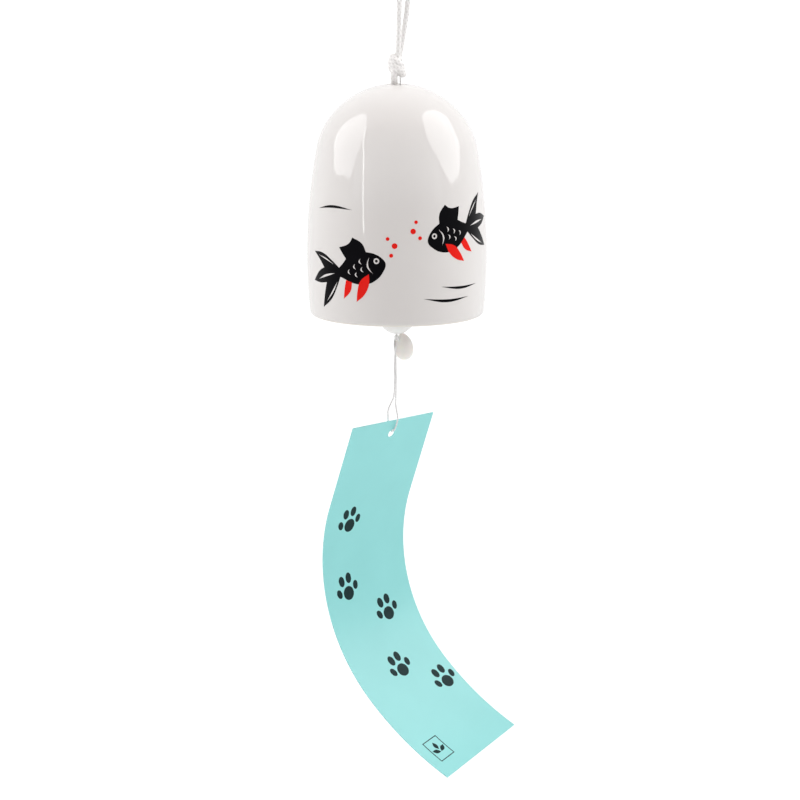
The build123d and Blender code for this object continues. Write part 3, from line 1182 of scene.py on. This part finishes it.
@dataclass
class WindStrip:
    """The paper strip: flat at its head, curled on a cone, slacker at its end, with paw prints on its front.

    The sizes of the prints are in millimetres.
    """

    finishes: Finishes
    head: Vector = field(default_factory=lambda: Vector((-4.2, -1.4, -154.9)) * MM)
    width: float = 40.0 * MM
    length: float = 139.0 * MM
    thickness: float = 0.35 * MM
    flat_length: float = 31.8 * MM
    curl_length: float = 70.1 * MM
    curl_radius: float = 62.5 * MM
    end_radius: float = 104.9 * MM
    cone: float = math.radians(11.0)
    turn: float = math.radians(46.0)
    lean: float = math.radians(21.0)
    hole_radius: float = 1.5 * MM
    hole_inset: float = 5.3 * MM
    hole_right: float = 0.7 * MM
    hole_sides: int = 40
    cells: tuple[int, int] = (16, 84)
    paws: Sequence[Spot] = (
        (-8.7, 38.7, 11.0), (-9.8, 63.1, 10.0), (5.9, 75.4, 8.0), (-0.3, 96.0, 8.0), (13.1, 108.1, 6.0),
    )
    pad_place: tuple[float, float] = (0.55, 2.05)
    pad_radius: float = 2.4
    toes: Sequence[tuple[float, ...]] = (
        (72, 4.35, 1.15, 1.65), (19, 5.25, 1.3, 1.9), (-19, 5.3, 1.3, 1.9), (-71, 4.25, 1.1, 1.6),
    )
    toe_lean: float = 0.2
    mark_place: tuple[float, float] = (-12.2, 128.7)
    mark_size: tuple[float, float] = (7.3, 9.2)
    mark_line: float = 0.32
    leaf: Outline = ((0, 1.7, 1), (-0.8, 0), (0, -1.7, 1), (0.8, 0))
    leaves: Sequence[Spot] = ((0, 1.3, 0), (-1.55, -0.6, 58), (1.55, -0.6, -58))
    print_cell: float = 2.0 * MM
    film: float = 0.02 * MM

    def __post_init__(self) -> None:
        """Works out the paper's own directions from its turn and lean."""
        self.across = Vector((math.cos(self.turn), math.sin(self.turn), 0))
        level = Vector((self.across.y, -self.across.x, 0))
        self.facing = level * math.cos(self.lean) - UP * math.sin(self.lean)
        self.upward = self.facing.cross(self.across)

    def flat_point(self, place: Vector) -> Vector:
        """The frame's point for a place right of, above and in front of the middle of the top edge."""
        return self.head + self.across * place.x + self.upward * place.y + self.facing * place.z

    def surface(self, right: float, up: float, lift: float) -> Vector:
        """The point of the curled paper for a place on the flat one.

        Args:
            right: Distance right of the paper's middle line.
            up: Distance above its top edge, so negative on the paper.
            lift: Distance in front of its middle layer.

        Returns:
            The point in the frame.
        """
        run = -up - self.flat_length
        if run <= 0:
            return self.flat_point(Vector((right, up, lift)))
        inward = Vector((math.sin(self.cone), 0, math.cos(self.cone)))
        axis = Vector((-math.cos(self.cone), 0, math.sin(self.cone)))
        foot = Vector((0, -self.flat_length, 0))
        place = foot + Vector((right, 0, lift))
        tight = min(run, self.curl_length)
        for stretch, radius in ((tight, self.curl_radius), (run - tight, self.end_radius)):
            pivot = foot + inward * radius
            curl = Matrix.Rotation(stretch / radius, 3, axis)
            foot, place = pivot + curl @ (foot - pivot), pivot + curl @ (place - pivot)
            inward = curl @ inward
        return self.flat_point(place)

    def paper(self) -> bpy.types.Object:
        """Cuts the paper flat, punches its hole and curls it."""
        deselect()
        columns, rows = self.cells
        bpy.ops.mesh.primitive_grid_add(x_subdivisions=columns, y_subdivisions=rows, size=1.0)
        sheet = bpy.context.object
        sheet.name = sheet.data.name = "curled_paper"
        bpy.ops.object.mode_set(mode="EDIT")
        bpy.ops.mesh.select_all(action="SELECT")
        bpy.ops.transform.resize(value=(self.width, self.length, 1.0))
        bpy.ops.transform.translate(value=(0, -self.length / 2, 0))
        bpy.ops.object.mode_set(mode="OBJECT")
        solid = sheet.modifiers.new("paper", "SOLIDIFY")
        solid.thickness = self.thickness
        solid.offset = 0.0
        bpy.ops.object.modifier_apply(modifier=solid.name)
        deselect()
        bpy.ops.mesh.primitive_cylinder_add(
            vertices=self.hole_sides,
            radius=self.hole_radius,
            depth=8 * self.thickness,
            location=(self.hole_right, -self.hole_inset, 0),
        )
        punch = bpy.context.object
        pick(sheet)
        cut = sheet.modifiers.new("hole", "BOOLEAN")
        cut.operation = "DIFFERENCE"
        cut.object = punch
        bpy.ops.object.modifier_apply(modifier=cut.name)
        bpy.data.objects.remove(punch)
        for vertex in sheet.data.vertices:
            vertex.co = self.surface(vertex.co.x, vertex.co.y, vertex.co.z)
        bpy.ops.object.shade_smooth_by_angle(angle=FILM_EDGE)
        return sheet

    def oval(self, middle: Vector, half_width: float, half_length: float, tilt: float) -> Outline:
        """An oval outline in metres from sizes in millimetres, tilted to the left."""
        turn = Matrix.Rotation(math.radians(tilt), 2)
        angles = [math.tau * step / ROUND_POINTS for step in range(ROUND_POINTS)]
        spots = [(half_width * math.cos(angle), half_length * math.sin(angle)) for angle in angles]
        return [tuple((middle + turn @ Vector(spot)) * MM) for spot in spots]

    def paw(self, right: float, down: float, tilt: float) -> list[Outline]:
        """The outlines of a paw print: a round pad and four toes that fan out over it.

        Args:
            right: The print's place right of the paper's middle line, in millimetres.
            down: Its place below the top edge, in millimetres.
            tilt: How far it leans to the left, in degrees.

        Returns:
            The five outlines in metres.
        """
        pad_right, pad_down = self.pad_place
        pad = Vector((right + pad_right, -down - pad_down))
        outlines = [self.oval(pad, self.pad_radius, self.pad_radius, tilt)]
        for fan, reach, half_width, half_length in self.toes:
            way = math.radians(90 + tilt + fan)
            toe = pad + reach * Vector((math.cos(way), math.sin(way)))
            outlines.append(self.oval(toe, half_width, half_length, tilt + fan * self.toe_lean))
        return outlines

    def mark(self) -> list[Outline]:
        """The outlines of the small framed mark: a thin frame round a plain leaf sprig."""
        right, down = self.mark_place
        middle = Vector((right, -down))
        outlines: list[Outline] = []
        for inset in (0.0, self.mark_line):
            half_width, half_length = (side / 2 - inset for side in self.mark_size)
            ways = ((1, 1), (-1, 1), (-1, -1), (1, -1))
            corners = [Vector((x * half_width, y * half_length)) for x, y in ways]
            outlines.append([(*((middle + corner) * MM), 1) for corner in corners])
        for right, up, tilt in self.leaves:
            turn = Matrix.Rotation(math.radians(tilt), 2)
            place = middle + Vector((right, up))
            outlines.append(
                [(*((place + turn @ Vector((x, y))) * MM), *sharp) for x, y, *sharp in self.leaf]
            )
        return outlines

    def build(self) -> None:
        sheet = self.paper()
        self.finishes.dress(sheet, "strip", self.finishes.paper, "paper_strip")
        prints = [(f"paw_{number}", self.paw(*place)) for number, place in enumerate(self.paws, 1)]
        prints.append(("framed_mark", self.mark()))
        for name, outlines in prints:
            flat = flat_print(name, outlines, self.print_cell)
            lay_print(flat, self.surface, self.thickness / 2, self.film)
            self.finishes.dress(flat, "strip", self.finishes.paw)


# Studio


class Panel(Enum):
    """The outline of a studio light."""

    OVAL = "ELLIPSE"
    STRIP = "RECTANGLE"


@dataclass(frozen=True)
class SoftBox:
    """One studio light: a flat panel, the point that it looks at and the way that its long side leans.

    One that isn't mirrored only lights, and glossy pieces don't show it.
    """

    name: str
    panel: Panel
    place: Spot
    aim: Spot
    lean: Spot
    size: tuple[float, float]
    power: float
    mirrored: bool = True


@dataclass
class Studio:
    """A white floor, a soft sky, panels of light and the camera."""

    distance: float = 1.0
    elevation: float = math.radians(11.0)
    target: Vector = field(default_factory=lambda: Vector((-1.96, 0, -148.0)) * MM)
    lens: float = 129.3
    sensor: float = 36.0
    clip: tuple[float, float] = (0.01, 100.0)
    dull: str = "#202020"
    floor_z: float = -0.42
    floor_size: float = 40.0
    floor_light: float = 1.02
    sky: float = 0.31
    sky_slopes: Sequence[tuple[str, str, float]] = (
        ("Y", "MAXIMUM", 0.66), ("Y", "MINIMUM", 0.17), ("Z", "MAXIMUM", 0.1),
    )
    front_tint: str = "#ffe7e1"
    tint_reach: tuple[float, float] = (-1.0, 0.6)
    panels: Sequence[SoftBox] = (
        SoftBox(
            "edge_strip",
            Panel.STRIP,
            place=(-0.712, -0.508, 0.44),
            aim=(0, 0, 0.3),
            lean=(-0.2, 0.28, 0.94),
            size=(0.025, 1.2),
            power=0.5,
        ),
        SoftBox(
            "top_box",
            Panel.OVAL,
            place=(0.1, -0.1, 1.4),
            aim=(0, 0, 0),
            lean=(0, 1, 0),
            size=(1.4, 1.3),
            power=7.5,
            mirrored=False,
        ),
    )
    screen_x: float = 0.85
    screen_cell: float = 1.0
    screen_light: float = 2.6
    left_screen: Outline = (
        (0.38, 0.73), (0.19, 1.37), (0.02, 1.35), (-0.56, 0.43), (-0.46, 0.1), (-0.17, 0.03), (0.05, 0.015),
        (0.12, 0.035), (0.27, 0.23),
    )
    right_screen: Outline = (
        (0.07, 1.71), (0.65, 0.98), (0.3, 0.38), (0.18, 0.085), (0.1, 0.025), (-0.06, 0.005), (-0.28, 0.035),
        (-0.63, 0.31), (-0.2, 1.56),
    )
    card_y: float = -1.4
    card_size: tuple[float, float] = (5.0, 2.5)
    card_light: float = 0.95
    card_dawn: float = 0.3

    def camera(self) -> None:
        """Sets the camera at the photograph's angle."""
        back = Vector((0, -math.cos(self.elevation), math.sin(self.elevation)))
        data = bpy.data.cameras.new("camera")
        data.sensor_width = self.sensor
        data.lens = self.lens
        data.clip_start, data.clip_end = self.clip
        camera = put("camera", data)
        camera.location = self.target + back * self.distance
        camera.rotation_euler = (-back).to_track_quat("-Z", "Y").to_euler()
        bpy.context.scene.camera = camera

    def light(self) -> None:
        """Hangs the panels and sets the soft sky, which looks white to the camera."""
        for panel in self.panels:
            data = bpy.data.lights.new(panel.name, "AREA")
            data.shape = panel.panel.value
            data.size, data.size_y = panel.size
            data.energy = panel.power
            lamp = put(panel.name, data)
            back = (Vector(panel.place) - Vector(panel.aim)).normalized()
            along = (Vector(panel.lean) - back * back.dot(Vector(panel.lean))).normalized()
            turn = Matrix((along.cross(back), along, back)).transposed()
            lamp.matrix_world = Matrix.Translation(panel.place) @ turn.to_4x4()
            lamp.visible_camera = False
            lamp.visible_glossy = panel.mirrored
        world = bpy.data.worlds.new("soft_sky")
        bpy.context.scene.world = world
        world.use_nodes = True
        tree = world.node_tree
        tree.nodes.clear()
        way = add_node(tree, "ShaderNodeTexCoord").outputs["Generated"]
        parts = add_node(tree, "ShaderNodeSeparateXYZ", {}, {0: way})
        sky = None
        for side, limit, slope in self.sky_slopes:
            part = add_node(tree, "ShaderNodeMath", {"operation": limit, 1: 0.0}, {0: parts.outputs[side]})
            links = {0: part.outputs[0]} | ({2: sky.outputs[0]} if sky else {})
            settings = {"operation": "MULTIPLY_ADD", 1: slope, 2: self.sky}
            sky = add_node(tree, "ShaderNodeMath", settings, links)
        seen = add_node(tree, "ShaderNodeLightPath").outputs["Is Camera Ray"]
        strength = add_node(tree, "ShaderNodeMix", {3: 1.0}, {0: seen, 2: sky.outputs[0]})
        front, back = self.tint_reach
        settings = {"From Min": front, "From Max": back}
        behind = add_node(tree, "ShaderNodeMapRange", settings, {"Value": parts.outputs["Y"]})
        settings = {"data_type": "RGBA", 6: linear(self.front_tint), 7: linear(WHITE)}
        tint = add_node(tree, "ShaderNodeMix", settings, {0: behind.outputs[0]})
        settings = {"data_type": "RGBA", 7: linear(WHITE)}
        colour = add_node(tree, "ShaderNodeMix", settings, {0: seen, 6: tint.outputs[2]})
        links = {"Strength": strength.outputs[0], "Color": colour.outputs[2]}
        shade = add_node(tree, "ShaderNodeBackground", {}, links)
        add_node(tree, "ShaderNodeOutputWorld", {}, {"Surface": shade.outputs[0]})

    def lit(
        self, name: str, strength: float
    ) -> tuple[bpy.types.Material, bpy.types.NodeTree, bpy.types.Node]:
        """Starts a stage material, dull but giving white light of its own."""
        colours = {"Base Color": linear(self.dull), "Emission Color": linear(WHITE)}
        return new_material(name, colours | {"Emission Strength": strength})

    def floor(self) -> None:
        """Lays the plain white floor, which the camera sees evenly lit."""
        deselect()
        bpy.ops.mesh.primitive_plane_add(size=self.floor_size, location=(0, 0, self.floor_z))
        floor = bpy.context.object
        floor.name = "floor"
        material, _, _ = self.lit("white_floor", self.floor_light)
        floor.data.materials.append(material)
        floor.visible_glossy = False

    def screens(self) -> None:
        """Hangs two big lit cloths left and right of the bell, cut to the shape that the glaze mirrors."""
        material, _, _ = self.lit("lit_cloth", self.screen_light)
        for name, side, outline in (("left", -1, self.left_screen), ("right", 1, self.right_screen)):
            screen = flat_print(f"{name}_screen", [outline], self.screen_cell)
            upright = Matrix(((0, 0, 1, side * self.screen_x), (1, 0, 0, 0), (0, 1, 0, 0), (0, 0, 0, 1)))
            screen.data.transform(upright)
            screen.data.materials.append(material)
            screen.visible_camera = False

    def card(self) -> None:
        """Stands a pale card behind the camera that only glossy pieces mirror, with a soft lower edge."""
        width, height = self.card_size
        deselect()
        bpy.ops.mesh.primitive_plane_add(size=1.0)
        card = bpy.context.object
        card.name = "card"
        turn = Matrix.Rotation(math.radians(90), 4, "X") @ Matrix.Diagonal((width, height, 1, 1))
        card.data.transform(Matrix.Translation((0, self.card_y, height / 2)) @ turn)
        material, tree, shader = self.lit("pale_card", self.card_light)
        place = add_node(tree, "ShaderNodeTexCoord").outputs["Object"]
        rise = add_node(tree, "ShaderNodeSeparateXYZ", {}, {0: place}).outputs["Z"]
        settings = {"From Max": self.card_dawn, "To Max": self.card_light}
        dawn = add_node(tree, "ShaderNodeMapRange", settings, {"Value": rise})
        settings = {"From Min": self.card_dawn, "From Max": height, "To Min": 1.0, "To Max": 0.0}
        fade = add_node(tree, "ShaderNodeMapRange", settings, {"Value": rise})
        links = {0: dawn.outputs[0], 1: fade.outputs[0]}
        glow = add_node(tree, "ShaderNodeMath", {"operation": "MULTIPLY"}, links)
        tree.links.new(glow.outputs[0], shader.inputs["Emission Strength"])
        card.data.materials.append(material)
        card.visible_camera = card.visible_diffuse = card.visible_shadow = False

    def build(self) -> None:
        """Sets up the camera, the lights, the screens, the card and the floor."""
        self.camera()
        self.light()
        self.screens()
        self.card()
        self.floor()
        bpy.context.scene.view_settings.view_transform = "Standard"


def main() -> None:
    """Builds every sub-assembly in order and reports each piece."""
    logging.basicConfig(level=logging.INFO, format="%(name)s: %(message)s")
    finishes = Finishes()
    strip = WindStrip(finishes)
    parts = (
        Studio(),
        HangingCord(finishes),
        CrownKnot(finishes),
        Neck(finishes),
        Bell(finishes),
        Clapper(finishes),
        strip,
        Tail(finishes, strip),
    )
    for part in parts:
        part.build()


if __name__ == "__main__":
    main()
